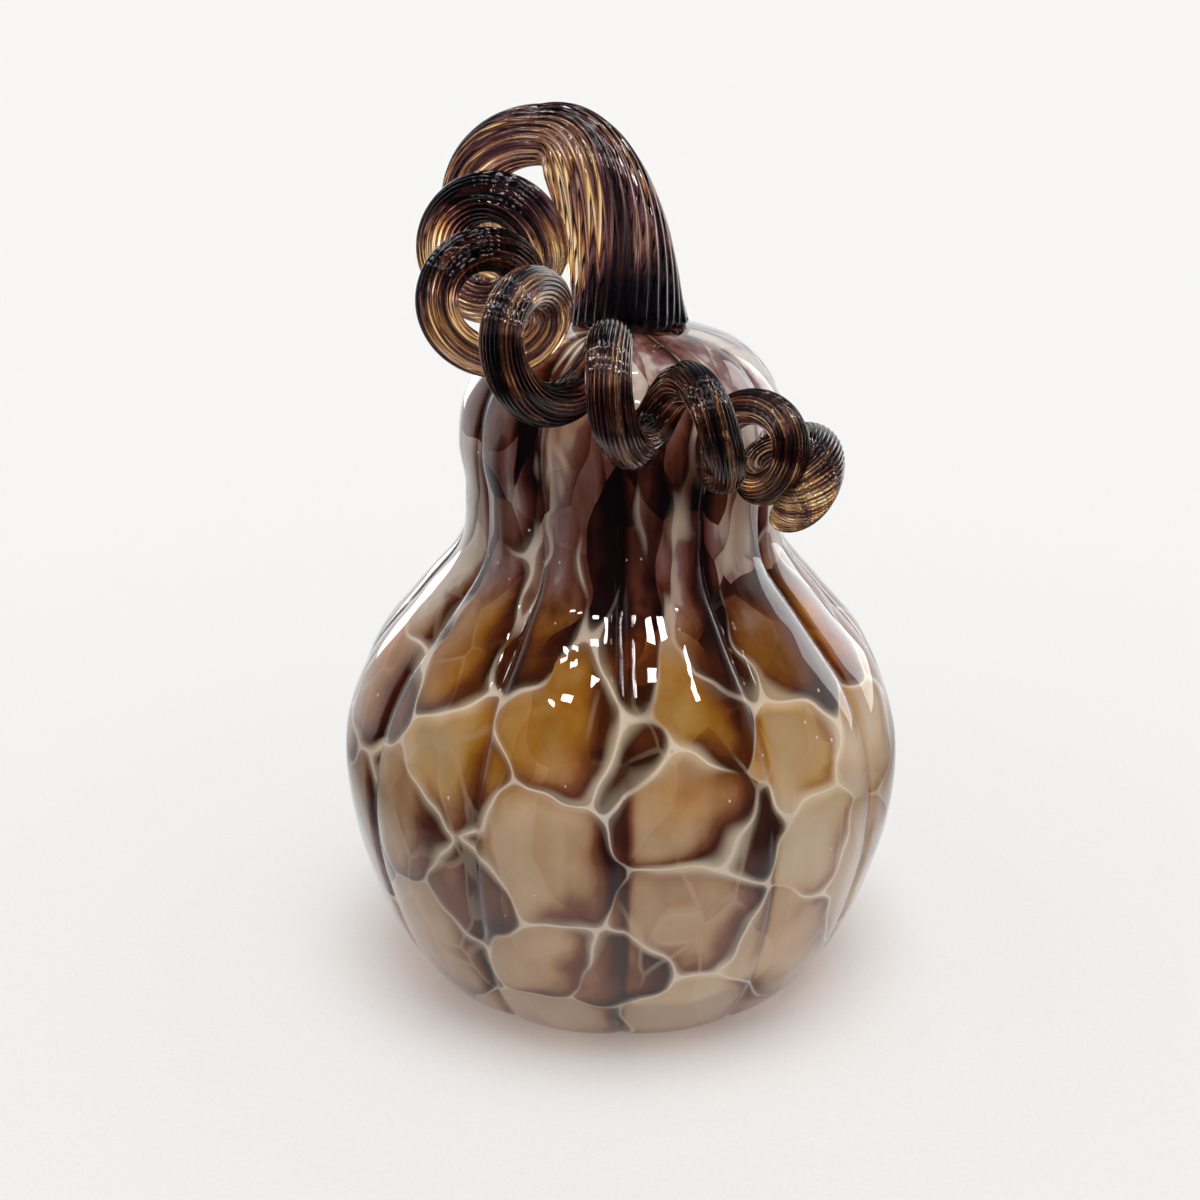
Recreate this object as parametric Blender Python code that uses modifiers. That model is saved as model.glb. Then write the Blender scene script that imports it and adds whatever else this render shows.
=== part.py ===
"""Blown glass gourd: a hollow lobed body and the solid curled stem laid on its shoulder.

Metres, +Z up. The body's axis is the Z axis and its foot stands on Z = 0.
"""

import math

import bpy
import numpy as np

MM = 0.001

# Gathered and blown body: half-outline in mm (radius, height) from the foot to the crack-off hole.
BODY_OUTLINE = (
    (45.0, 0.0),
    (55.0, 3.6),
    (64.8, 17.4),
    (71.0, 34.8),
    (74.9, 53.3),
    (74.6, 73.3),
    (67.6, 91.7),
    (54.2, 108.3),
    (43.4, 122.3),
    (41.4, 138.0),
    (42.6, 150.5),
    (40.2, 163.0),
    (31.8, 173.0),
    (19.0, 178.0),
    (9.0, 179.0),
)
POINTS_PER_SPAN = 2
WALL = 4.5
FLOOR = 7.5
PONTIL_RADIUS = 13.0
PONTIL_DEPTH = 1.2

# Optic lobes: twelve narrow grooves, one of them at the front.
LOBES = 12
STEPS_PER_LOBE = 6
GROOVE_AT_SHOULDER = 3.2
GROOVE_AT_FOOT = 0.8
SHOULDER_HEIGHT = 112.0
INNER_SHARE = 0.6

# Curled stem: one row a turn, half a turn before the top of the arch first. In mm and degrees:
# middle of the loop (x, y, z), loop radius, how far the turn lags, rod radius.
TURNS = (
    (-12.3, 42.9, 219.8, 22.4, 6.0, 9.4),
    (-25.6, 12.1, 206.6, 15.5, 13.0, 7.2),
    (-34.5, -3.4, 198.4, 11.6, 7.5, 6.2),
    (-34.4, -23.3, 189.0, 11.3, 14.5, 5.2),
    (-19.9, -44.8, 182.4, 12.6, 11.0, 5.2),
    (-1.3, -53.7, 172.6, 10.8, 7.5, 5.3),
    (18.2, -53.9, 164.6, 10.5, 12.0, 4.7),
    (34.2, -44.8, 158.3, 8.9, 12.5, 4.4),
    (39.6, -42.8, 149.2, 11.0, 37.5, 5.7),
)
FIRST_TURN = -0.5
ARCH_TURN = 0.25
LAST_TURN = 7.8
LOOP_HEIGHT = 0.906
LOOP_TILT = 0.476
RINGS_PER_TURN = 16
TIP_LENGTH = 13.0

# Trunk of the stem, from its foot on the body to the top of the arch.
FOOT_CENTRE = (1.5, 0.0)
FOOT_GAP = 0.3
FOOT_RADIUS = 14.0
FOOT_FLARE = 1.0
FOOT_EDGE_ROUND = 2.0
TRUNK_RISE = 11.0
TRUNK_LEAN = 16.0
TRUNK_RINGS = 14
ROD_BEVEL_RESOLUTION = 4


def clear_scene():
    for obj in list(bpy.data.objects):
        bpy.data.objects.remove(obj, do_unlink=True)


def object_collection(name):
    collection = bpy.data.collections.new(name)
    bpy.context.scene.collection.children.link(collection)
    return collection


def glass(name, colour, roughness):
    material = bpy.data.materials.new(name)
    material.use_nodes = True
    shader = material.node_tree.nodes["Principled BSDF"]
    shader.inputs["Base Color"].default_value = (*colour, 1.0)
    shader.inputs["Roughness"].default_value = roughness
    shader.inputs["Metallic"].default_value = 0.0
    return material


def catmull_rom(rows, position):
    """Value and rate of change at a position counted in rows, on a curve through every row."""
    rows = np.asarray(rows, float)
    rows = np.vstack([2 * rows[0] - rows[1], rows, 2 * rows[-1] - rows[-2]])
    i = int(min(max(position, 0.0), len(rows) - 3 - 1e-9))
    f = position - i
    a, b, c, d = rows[i : i + 4]
    square = 2 * a - 5 * b + 4 * c - d
    cube = 3 * b - a - 3 * c + d
    value = b + 0.5 * ((c - a) * f + square * f**2 + cube * f**3)
    rate = 0.5 * ((c - a) + 2 * square * f + 3 * cube * f**2)
    return value, rate


def outer_profile():
    spans = len(BODY_OUTLINE) - 1
    steps = spans * POINTS_PER_SPAN
    return np.array([catmull_rom(BODY_OUTLINE, spans * k / steps)[0] for k in range(steps + 1)])


def inner_profile(outer):
    """The outer profile moved in by the wall, ending on the thick floor."""
    along = np.gradient(outer, axis=0)
    along /= np.linalg.norm(along, axis=1)[:, None]
    inner = outer + WALL * np.column_stack([-along[:, 1], along[:, 0]])
    inner[-1] = (outer[-1][0], outer[-1][1] - WALL)
    rising = [inner[k] for k in range(1, len(inner), 2) if inner[k][1] > FLOOR + 2.0]
    return np.array([(0.0, FLOOR), (38.0, FLOOR), *rising, inner[-1]])


def body_profile():
    """Closed half-section: up the inside, over the lip, down the outside and in across the base."""
    outer = outer_profile()
    base = [
        (PONTIL_RADIUS + PONTIL_DEPTH, 0.0),
        (PONTIL_RADIUS, PONTIL_DEPTH),
        (0.0, PONTIL_DEPTH),
    ]
    inner = inner_profile(outer)
    return np.vstack([inner, outer[::-1], base]), len(inner)


def groove_depth(height):
    """Grooves are deep on the shoulder and neck, and fade towards the foot and the stem."""
    if height < SHOULDER_HEIGHT:
        share = math.sin(0.5 * math.pi * max(height, 0.0) / SHOULDER_HEIGHT) ** 2
        return GROOVE_AT_FOOT + (GROOVE_AT_SHOULDER - GROOVE_AT_FOOT) * share
    top = BODY_OUTLINE[-1][1]
    return GROOVE_AT_SHOULDER * math.sqrt(max((top - height) / (top - SHOULDER_HEIGHT), 0.0))


def lobe_inset(angle, height):
    """How far the surface lies inside its outline: nothing on a crest, most in a groove."""
    crest = abs(math.sin(0.5 * LOBES * (angle + 0.5 * math.pi)))
    return groove_depth(height) * (1.0 - crest**0.8)


def press_lobes(mesh):
    """Moves every vertex off the flat base inwards by the lobes, the inner wall by less."""
    base_radius = BODY_OUTLINE[0][0]
    outline = outer_profile()
    order = np.argsort(outline[:, 1])
    for vertex in mesh.vertices:
        x, y, z = (value / MM for value in vertex.co)
        radius = math.hypot(x, y)
        if radius < 1e-6 or (z < 2.0 and radius < base_radius):
            continue
        wall_radius = np.interp(z, outline[order, 1], outline[order, 0])
        share = INNER_SHARE if radius < wall_radius - 0.5 * WALL and z < 172.0 else 1.0
        inset = share * lobe_inset(math.atan2(y, x), z) * min(radius / 30.0, 1.0)
        scale = (radius - inset) / radius
        vertex.co.x *= scale
        vertex.co.y *= scale


def make_body(collection, material):
    profile, _ = body_profile()
    mesh = bpy.data.meshes.new("gourd_section")
    points = [(r * MM, 0.0, z * MM) for r, z in profile]
    mesh.from_pydata(points, [(k, k + 1) for k in range(len(points) - 1)], [])
    section = bpy.data.objects.new("gourd_section", mesh)
    collection.objects.link(section)
    screw = section.modifiers.new("turn", "SCREW")
    screw.steps = screw.render_steps = LOBES * STEPS_PER_LOBE
    screw.use_merge_vertices = True
    screw.merge_threshold = 1e-6
    turned = section.evaluated_get(bpy.context.evaluated_depsgraph_get())
    solid = bpy.data.meshes.new_from_object(turned)
    bpy.data.objects.remove(section, do_unlink=True)
    press_lobes(solid)
    solid.name = "gourd_body"
    solid.materials.clear()
    solid.materials.append(material)
    body = bpy.data.objects.new("gourd_body", solid)
    collection.objects.link(body)
    return body


def coil_point(turn):
    """Centre of the rod at this turn of the curl, and its radius, in mm.

    The curl is a right-handed helix about a curved axis. Its loops stand nearly upright.
    """
    row, rate = catmull_rom(TURNS, turn - FIRST_TURN)
    ahead = rate[:3] * (1.0, 1.0, LOOP_TILT)
    ahead /= np.linalg.norm(ahead)
    up = np.array((0.0, 0.0, 1.0)) - ahead * ahead[2]
    up /= np.linalg.norm(up)
    across = np.cross(ahead, up)
    angle = 2 * math.pi * (turn - ARCH_TURN) - math.radians(row[4])
    offset = LOOP_HEIGHT * math.cos(angle) * up + math.sin(angle) * across
    return row[:3] + row[3] * offset, row[5]


def trunk_points():
    """A cubic curve that leaves the body upright and meets the curl along its first loop."""
    end, end_radius = coil_point(ARCH_TURN)
    heading = coil_point(ARCH_TURN + 0.001)[0] - end
    heading /= np.linalg.norm(heading)
    underside = np.array((*FOOT_CENTRE, BODY_OUTLINE[-1][1] + FOOT_GAP))
    start = underside + (0.0, 0.0, FOOT_EDGE_ROUND)
    rise = start + (0.0, 0.0, TRUNK_RISE)
    lean = end - heading * TRUNK_LEAN
    found = [(underside, FOOT_RADIUS + FOOT_FLARE - FOOT_EDGE_ROUND)]
    for k in range(TRUNK_RINGS):
        t = k / TRUNK_RINGS
        s = 1.0 - t
        point = s**3 * start + 3 * s * s * t * rise + 3 * s * t * t * lean + t**3 * end
        radius = end_radius + (FOOT_RADIUS - end_radius) * (1.0 - t**3)
        radius += FOOT_FLARE * math.exp((start[2] - point[2]) / 4.0)
        found.append((point, radius))
    return found


def curl_points():
    steps = round((LAST_TURN - ARCH_TURN) * RINGS_PER_TURN)
    turns = np.linspace(ARCH_TURN, LAST_TURN, steps + 1)
    found = [coil_point(turn) for turn in turns]
    left = TIP_LENGTH
    for k in range(len(found) - 1, 0, -1):
        point, radius = found[k]
        if left > 0.0:
            found[k] = (point, radius * math.sqrt(1.0 - 0.94 * (left / TIP_LENGTH) ** 2))
        left -= np.linalg.norm(point - found[k - 1][0])
    return found


def make_stem(collection, material):
    rings = trunk_points() + curl_points()
    curve = bpy.data.curves.new("curled_stem", "CURVE")
    curve.dimensions = "3D"
    curve.twist_mode = "MINIMUM"
    curve.bevel_mode = "ROUND"
    curve.bevel_depth = MM
    curve.bevel_resolution = ROD_BEVEL_RESOLUTION
    curve.use_fill_caps = True
    spline = curve.splines.new("POLY")
    spline.points.add(len(rings) - 1)
    for point, (centre, radius) in zip(spline.points, rings):
        point.co = (*(centre * MM), 1.0)
        point.radius = radius
    curve.materials.append(material)
    stem = bpy.data.objects.new("curled_stem", curve)
    collection.objects.link(stem)
    return stem


def main():
    clear_scene()
    collection = object_collection("blown_glass_gourd")
    make_body(collection, glass("cased_blown_glass", (0.34, 0.23, 0.17), 0.05))
    make_stem(collection, glass("amber_stem_glass", (0.20, 0.10, 0.06), 0.06))


main()
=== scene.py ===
"""Looks of a blown glass gourd: cased body glass over a colour layer, and a curled, ribbed stem.

Metres, +Z up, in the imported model's own frame. The body's axis is the Z axis.
"""

from __future__ import annotations

import logging
import math
from dataclasses import dataclass
from enum import Enum

import bpy
import numpy as np
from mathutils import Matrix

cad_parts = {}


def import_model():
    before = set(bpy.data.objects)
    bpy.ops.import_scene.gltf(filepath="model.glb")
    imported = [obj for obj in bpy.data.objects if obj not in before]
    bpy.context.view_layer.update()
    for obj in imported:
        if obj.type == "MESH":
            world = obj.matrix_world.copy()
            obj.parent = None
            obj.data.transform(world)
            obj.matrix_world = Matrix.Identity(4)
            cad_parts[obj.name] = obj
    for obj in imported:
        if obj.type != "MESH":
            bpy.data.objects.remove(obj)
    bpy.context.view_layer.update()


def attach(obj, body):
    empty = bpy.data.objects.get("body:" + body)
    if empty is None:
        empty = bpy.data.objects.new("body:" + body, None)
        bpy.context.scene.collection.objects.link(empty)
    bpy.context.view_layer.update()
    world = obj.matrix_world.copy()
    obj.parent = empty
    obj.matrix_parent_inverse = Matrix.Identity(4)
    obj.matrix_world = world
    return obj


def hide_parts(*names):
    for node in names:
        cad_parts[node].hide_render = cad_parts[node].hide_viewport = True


log = logging.getLogger("gourd")
MM = 0.001


# Small tools ----------------------------------------------------------------


def linear(code: str, alpha: float = 1.0) -> tuple[float, float, float, float]:
    """Turns an sRGB hex colour into linear light.

    Args:
        code: six hex digits with a leading #.
        alpha: the fourth value.

    Returns:
        Red, green, blue and alpha.
    """
    parts = [int(code[k : k + 2], 16) / 255 for k in (1, 3, 5)]
    red, green, blue = (c / 12.92 if c <= 0.04045 else ((c + 0.055) / 1.055) ** 2.4 for c in parts)
    return (red, green, blue, alpha)


def node(tree: bpy.types.NodeTree, kind: str, settings: dict | None = None, **links) -> bpy.types.Node:
    """Adds one node with its settings and its inputs.

    Args:
        tree: the node tree that takes the node.
        kind: the node's class name without ShaderNode.
        settings: attributes of the node to set.
        links: inputs by name, with _ for a space, or by number as in_0: a socket, or a value.

    Returns:
        The new node.
    """
    made = tree.nodes.new("ShaderNode" + kind)
    for name, value in (settings or {}).items():
        setattr(made, name, value)
    for name, value in links.items():
        key = int(name[3:]) if name.startswith("in_") else name.replace("_", " ")
        socket = made.inputs[key]
        if isinstance(value, bpy.types.NodeSocket):
            tree.links.new(value, socket)
        else:
            socket.default_value = value
    return made


def maths(tree: bpy.types.NodeTree, operation: str, *terms) -> bpy.types.NodeSocket:
    """Works out one operation on numbers.

    Args:
        tree: the node tree.
        operation: the Math node's name for it.
        terms: sockets or values, in the operation's own order.

    Returns:
        The result's socket.
    """
    links = {f"in_{k}": term for k, term in enumerate(terms)}
    return node(tree, "Math", {"operation": operation}, **links).outputs[0]


def remap(
    tree: bpy.types.NodeTree, value, source: tuple, target: tuple = (0.0, 1.0), smooth: bool = False
) -> bpy.types.NodeSocket:
    """Maps a number from one range to another, held inside it.

    Args:
        tree: the node tree.
        value: the socket to map.
        source: its values that give the target's two ends.
        target: what those two give.
        smooth: eases both ends.

    Returns:
        The result's socket.
    """
    links = {"From_Min": source[0], "From_Max": source[1], "To_Min": target[0], "To_Max": target[1]}
    kind = "SMOOTHSTEP" if smooth else "LINEAR"
    return node(tree, "MapRange", {"interpolation_type": kind}, Value=value, **links).outputs[0]


def blend(tree: bpy.types.NodeTree, factor, low, high) -> bpy.types.NodeSocket:
    """Blends two colours: factor 0 gives low and 1 gives high."""
    return node(tree, "Mix", {"data_type": "RGBA"}, Factor=factor, in_6=low, in_7=high).outputs[2]


def layered(tree: bpy.types.NodeTree, factor, low, high) -> bpy.types.NodeSocket:
    """Blends two shaders: factor 0 gives low and 1 gives high."""
    return node(tree, "MixShader", in_0=factor, in_1=low, in_2=high).outputs[0]


def stored(tree: bpy.types.NodeTree, name: str) -> bpy.types.NodeSocket:
    """Reads one number that store() kept on the mesh."""
    return node(tree, "Attribute", {"attribute_name": name}).outputs["Fac"]


def ramp(tree: bpy.types.NodeTree, factor, stops: tuple, ease: bool = True) -> bpy.types.NodeSocket:
    """Adds a colour ramp.

    Args:
        tree: the node tree.
        factor: the socket that runs along the ramp.
        stops: pairs of place and hex colour or grey value.
        ease: smooth steps between stops instead of straight ones.

    Returns:
        The ramp's colour socket.
    """
    made = node(tree, "ValToRGB", Fac=factor)
    made.color_ramp.interpolation = "EASE" if ease else "LINEAR"
    points = made.color_ramp.elements
    while len(points) < len(stops):
        points.new(0.5)
    for point, (place, colour) in zip(points, stops):
        point.position = place
        point.color = linear(colour) if isinstance(colour, str) else (colour, colour, colour, 1.0)
    return made.outputs["Color"]


def new_material(name: str) -> tuple[bpy.types.Material, bpy.types.NodeTree, bpy.types.Node]:
    """Makes an empty node material.

    Args:
        name: the material's name.

    Returns:
        The material, its node tree and its output node.
    """
    material = bpy.data.materials.new(name)
    material.use_nodes = True
    tree = material.node_tree
    tree.nodes.clear()
    return material, tree, tree.nodes.new("ShaderNodeOutputMaterial")


def deselect_all() -> None:
    """Leaves object mode with nothing selected."""
    if bpy.context.object and bpy.context.object.mode != "OBJECT":
        bpy.ops.object.mode_set(mode="OBJECT")
    bpy.ops.object.select_all(action="DESELECT")


def coordinates(mesh: bpy.types.Mesh) -> np.ndarray:
    """All vertices of a mesh, as rows of x, y and z in metres."""
    flat = np.empty(len(mesh.vertices) * 3)
    mesh.vertices.foreach_get("co", flat)
    return flat.reshape(-1, 3)


def set_coordinates(mesh: bpy.types.Mesh, points: np.ndarray) -> None:
    """Moves all vertices of a mesh to these rows of x, y and z."""
    mesh.vertices.foreach_set("co", points.ravel())
    mesh.update()


def store(mesh: bpy.types.Mesh, name: str, values: np.ndarray) -> None:
    """Keeps one number or one row of three a vertex on the mesh, for a material to read."""
    kind, field = ("FLOAT", "value") if values.ndim == 1 else ("FLOAT_VECTOR", "vector")
    layer = mesh.attributes.new(name, kind, "POINT")
    layer.data.foreach_set(field, np.asarray(values, np.float32).ravel())


def smoothstep(low: float, high: float, x: np.ndarray) -> np.ndarray:
    """0 below low, 1 above high and an even curve between."""
    t = np.clip((x - low) / (high - low), 0.0, 1.0)
    return t * t * (3 - 2 * t)


def wobble(points: np.ndarray, wavelength: float, seed: int) -> np.ndarray:
    """A smooth uneven field from -1 to 1, as hand work leaves.

    Args:
        points: rows of coordinates in mm.
        wavelength: the size of its swells in mm.
        seed: picks one field of many.

    Returns:
        One number a row.
    """
    draw = np.random.default_rng(seed)
    total = np.zeros(len(points))
    for _ in range(7):
        way = draw.normal(size=3)
        way *= 2 * math.pi / (wavelength * np.linalg.norm(way) * draw.uniform(0.7, 1.5))
        total += np.sin(points @ way + draw.uniform(0, 2 * math.pi))
    return total / 7 * 1.6


def catmull_rom(rows: np.ndarray, place: np.ndarray) -> tuple[np.ndarray, np.ndarray]:
    """A curve through every row.

    Args:
        rows: the rows that the curve passes through.
        place: where to read it, counted in rows.

    Returns:
        The curve's values and their rates of change.
    """
    rows = np.asarray(rows, float)
    rows = np.vstack([2 * rows[0] - rows[1], rows, 2 * rows[-1] - rows[-2]])
    x = np.clip(place, 0.0, len(rows) - 3 - 1e-9)
    i = x.astype(int)
    f = (x - i)[:, None]
    a, b, c, d = rows[i], rows[i + 1], rows[i + 2], rows[i + 3]
    square = 2 * a - 5 * b + 4 * c - d
    cube = 3 * b - a - 3 * c + d
    value = b + 0.5 * ((c - a) * f + square * f**2 + cube * f**3)
    return value, 0.5 * ((c - a) + 2 * square * f + 3 * cube * f**2)


def spun(name: str, profile: np.ndarray, steps: int) -> bpy.types.Object:
    """Turns a half-section about the Z axis, as a lathe would.

    Args:
        name: the new object's name.
        profile: rows of radius and height in mm, from axis to axis.
        steps: faces round the axis.

    Returns:
        A closed object with its faces outwards.
    """
    deselect_all()
    bpy.ops.mesh.primitive_plane_add(size=0.001, location=(0, 0, 0))
    piece = bpy.context.object
    piece.name = piece.data.name = name
    bpy.ops.object.mode_set(mode="EDIT")
    bpy.ops.mesh.merge(type="CENTER")
    here = np.zeros(3)
    points = [np.array((r * MM, 0.0, z * MM)) for r, z in profile]
    bpy.ops.transform.translate(value=tuple(points[0] - here))
    for last, point in zip(points, points[1:]):
        bpy.ops.mesh.extrude_region_move(TRANSFORM_OT_translate={"value": tuple(point - last)})
    bpy.ops.mesh.select_all(action="SELECT")
    bpy.ops.mesh.spin(steps=steps, angle=2 * math.pi, center=(0, 0, 0), axis=(0, 0, 1))
    bpy.ops.mesh.select_all(action="SELECT")
    bpy.ops.mesh.remove_doubles(threshold=1e-6)
    bpy.ops.mesh.normals_make_consistent(inside=False)
    bpy.ops.object.mode_set(mode="OBJECT")
    bpy.ops.object.shade_smooth()
    return piece


# Finishes ---------------------------------------------------------------------


def shadow_clear(tree: bpy.types.NodeTree, shader, tint) -> bpy.types.NodeSocket:
    """Lets lamps shine through glass: for a shadow ray the shader is a clear tint.

    Args:
        tree: the node tree.
        shader: the glass shader's socket.
        tint: linear colour of the light that passes.

    Returns:
        The mixed shader's socket.
    """
    shadow = node(tree, "LightPath").outputs["Is Shadow Ray"]
    clear = node(tree, "BsdfTransparent", Color=tint).outputs[0]
    return layered(tree, shadow, shader, clear)


@dataclass(frozen=True)
class ClearCasing:
    """Soda-lime crystal gathered over the colour: fire polished, so it mirrors lamps sharply."""

    ior: float = 1.5
    roughness: float = 0.0
    skim_power: float = 6.0
    skim_share: float = 0.9
    gloss: float = 0.33

    def material(self) -> bpy.types.Material:
        """Builds the clear glass of the outer wall."""
        material, tree, out = new_material("clear_soda_lime_casing")
        glass = node(
            tree,
            "BsdfPrincipled",
            Base_Color=linear("#f4f6fa"),
            Roughness=self.roughness,
            IOR=self.ior,
            Specular_IOR_Level=self.gloss,
            Transmission_Weight=1.0,
        )
        skim = node(tree, "LayerWeight", Blend=0.5).outputs["Facing"]
        back = node(tree, "NewGeometry").outputs["Backfacing"]
        steep = maths(tree, "POWER", skim, self.skim_power)
        clamped = {"operation": "SUBTRACT", "use_clamp": True}
        front = node(tree, "Math", clamped, in_0=self.skim_share, in_1=back).outputs[0]
        share = maths(tree, "MULTIPLY", steep, front)
        mirror = node(tree, "BsdfGlossy", Color=linear("#f2f5fa"), Roughness=0.03)
        both = layered(tree, share, glass.outputs[0], mirror.outputs[0])
        tree.links.new(shadow_clear(tree, both, linear("#ffffff")), out.inputs["Surface"])
        return material


@dataclass(frozen=True)
class ColourLayer:
    """Brown colour chips melted over pale opal glass: soft-edged patches parted by cream veins.

    The patches are clear amber on the shoulder, milky taupe below and near-black amethyst above.
    """

    belly_top: float = 0.078
    shoulder_top: float = 0.114
    milk: float = 0.14
    passes: float = 0.38
    border: float = 0.011
    # How clear the glass is on the belly, the shoulder and the neck.
    clearness: tuple = (0.12, 0.42, 0.10)
    # Below the shoulder's top and above it: the say of each patch, each shard and each thread.
    patch_say: tuple = (0.75, 0.50)
    shard_say: tuple = (0.14, 0.80)
    thread_say: tuple = (0.25, 1.5)
    # From a patch's pale side to its dark side: how wide its rim is in mm, and how dark.
    rim_width: tuple = (1.2, 8.5)
    rim_dark: tuple = (0.25, 1.05)
    thread_scale: tuple = (210.0, 210.0, 26.0)
    grain_say: float = 0.5
    families: int = 5
    spacing: float = 25.0
    corner: float = 3.5
    shard_width: float = 15.0
    shard_height: float = 38.0
    belly_stops: tuple = (
        (0.0, "#f4e6d2"),
        (0.35, "#e2c6a2"),
        (0.5, "#cca680"),
        (0.68, "#8a583e"),
        (0.85, "#502a22"),
        (1.0, "#2a1416"),
    )
    shoulder_stops: tuple = (
        (0.0, "#ecd6b0"),
        (0.35, "#e0b468"),
        (0.5, "#bc8430"),
        (0.70, "#7a461c"),
        (0.85, "#4a2412"),
        (1.0, "#1e0c0a"),
    )
    neck_stops: tuple = (
        (0.0, "#f0e4d0"),
        (0.20, "#d2c0b0"),
        (0.30, "#a08080"),
        (0.45, "#8c5e52"),
        (0.60, "#6c3e2e"),
        (0.80, "#3a1a16"),
        (1.0, "#140a0c"),
    )

    def zones(self, tree: bpy.types.NodeTree) -> tuple:
        """Splits the height into belly, shoulder and neck with cloudy borders.

        Args:
            tree: the node tree.

        Returns:
            Two sockets from 0 to 1: how far above the belly, and how far above the shoulder.
        """
        place = node(tree, "TexCoord").outputs["Object"]
        height = node(tree, "SeparateXYZ", in_0=place).outputs["Z"]
        cloud = node(tree, "TexNoise", in_0=place, Scale=30.0, Detail=2.0).outputs["Fac"]
        shift = maths(tree, "MULTIPLY_ADD", cloud, 0.036, -0.018)
        level = maths(tree, "ADD", height, shift)
        borders = []
        for middle in (self.belly_top, self.shoulder_top):
            borders.append(remap(tree, level, (middle - self.border, middle + self.border), smooth=True))
        return tuple(borders)

    def by_zone(self, tree: bpy.types.NodeTree, borders: tuple, three: tuple) -> bpy.types.NodeSocket:
        """Blends three colours by height.

        Args:
            tree: the node tree.
            borders: the two sockets of zones().
            three: colour sockets or values for belly, shoulder and neck.

        Returns:
            The blended colour socket.
        """
        low = blend(tree, borders[0], three[0], three[1])
        return blend(tree, borders[1], low, three[2])

    def nearest_patch(self, tree: bpy.types.NodeTree) -> tuple:
        """Finds the patch that each spot belongs to.

        Args:
            tree: the node tree.

        Returns:
            Sockets for the distance from its edge in mm, its tone, and how far right of and below
            its middle the spot lies.
        """
        low = high = held = None
        for k in range(self.families):
            field = node(tree, "Attribute", {"attribute_name": f"patches_{k}"}).outputs["Vector"]
            far = node(tree, "SeparateXYZ", in_0=field).outputs["X"]
            if low is None:
                low, held = far, field
                continue
            nearer = maths(tree, "LESS_THAN", far, low)
            loser = maths(tree, "MAXIMUM", far, low)
            if high is None:
                high = loser
            else:
                reach = 2 * self.spacing * self.corner
                high = maths(tree, "SMOOTH_MIN", high, loser, reach)
            held = node(tree, "Mix", {"data_type": "VECTOR"}, Factor=nearer, in_4=held, in_5=field).outputs[1]
            low = maths(tree, "MINIMUM", far, low)
        gap = maths(tree, "SUBTRACT", high, low)
        edge = maths(tree, "MULTIPLY", gap, 0.5 / self.spacing)
        found = node(tree, "SeparateXYZ", in_0=held)
        return edge, found.outputs["Y"], found.outputs["Z"]

    def depth(
        self, tree: bpy.types.NodeTree, borders: tuple, inside, tone, side, cell
    ) -> bpy.types.NodeSocket:
        """How dark the glass is: by patch, by shard, darkest in a crescent at each patch's rim, and with the
        painted shade of grooves and lobe sides that the mesh stores.

        Args:
            tree: the node tree.
            borders: the two sockets of zones().
            inside: mm inside the patch.
            tone: the patch's own darkness.
            side: how far right of and below the patch's middle.
            cell: a random number for each shard, from 0 to 1.

        Returns:
            A socket from -1 to 1 and somewhat beyond.
        """
        # The stored darkness holds painted shade in the grooves and on the lobes' sides.
        own = stored(tree, "darkness")
        place = node(tree, "TexCoord").outputs["Object"]
        grain = node(tree, "TexNoise", in_0=place, Scale=110.0, Detail=3.0).outputs["Fac"]
        weight = remap(tree, borders[1], (0.0, 1.0), self.patch_say)
        total = maths(tree, "MULTIPLY_ADD", tone, weight, own)
        centred = maths(tree, "MULTIPLY_ADD", cell, 2.0, -1.0)
        share = remap(tree, borders[1], (0.0, 1.0), self.shard_say)
        total = maths(tree, "MULTIPLY_ADD", centred, share, total)
        reach = remap(tree, side, (-0.2, 0.9), self.rim_width)
        strength = remap(tree, side, (-0.3, 0.7), self.rim_dark)
        drawn = node(tree, "Mapping", Vector=place, Scale=self.thread_scale).outputs[0]
        threads = node(tree, "TexNoise", in_0=drawn, Scale=1.0, Detail=2.0).outputs["Fac"]
        threads = maths(tree, "SUBTRACT", threads, 0.5)
        pull = remap(tree, borders[1], (0.0, 1.0), self.thread_say)
        total = maths(tree, "MULTIPLY_ADD", threads, pull, total)
        steps = maths(tree, "DIVIDE", inside, reach)
        fading = maths(tree, "POWER", math.exp(-1), steps)
        total = maths(tree, "MULTIPLY_ADD", fading, strength, total)
        return maths(tree, "MULTIPLY_ADD", grain, self.grain_say, total)

    def material(self) -> bpy.types.Material:
        """Builds the colour from the mesh's own patch fields and its height."""
        material, tree, out = new_material("brown_frit_over_opal")
        raw, tone, side = self.nearest_patch(tree)
        width = stored(tree, "vein_width")
        edge = maths(tree, "SUBTRACT", raw, width)
        inside = maths(tree, "MAXIMUM", edge, 0.0)
        place = node(tree, "TexCoord").outputs["Object"]
        borders = self.zones(tree)

        sway = node(tree, "TexNoise", in_0=place, Scale=45.0, Detail=1.0).outputs["Color"]
        added = {"operation": "MULTIPLY_ADD"}
        swayed = node(tree, "VectorMath", added, in_0=sway, in_1=(0.012,) * 3, in_2=place).outputs[0]
        scale = (1 / (self.shard_width * MM), 1 / (self.shard_width * MM), 1 / (self.shard_height * MM))
        shards = node(tree, "Mapping", Vector=swayed, Scale=scale).outputs[0]
        cell = node(tree, "TexVoronoi", in_0=shards, Scale=1.0).outputs["Color"]
        random = node(tree, "SeparateXYZ", in_0=cell).outputs["X"]
        edges = {"feature": "DISTANCE_TO_EDGE"}
        rift = node(tree, "TexVoronoi", edges, in_0=shards, Scale=1.0).outputs["Distance"]

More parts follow.
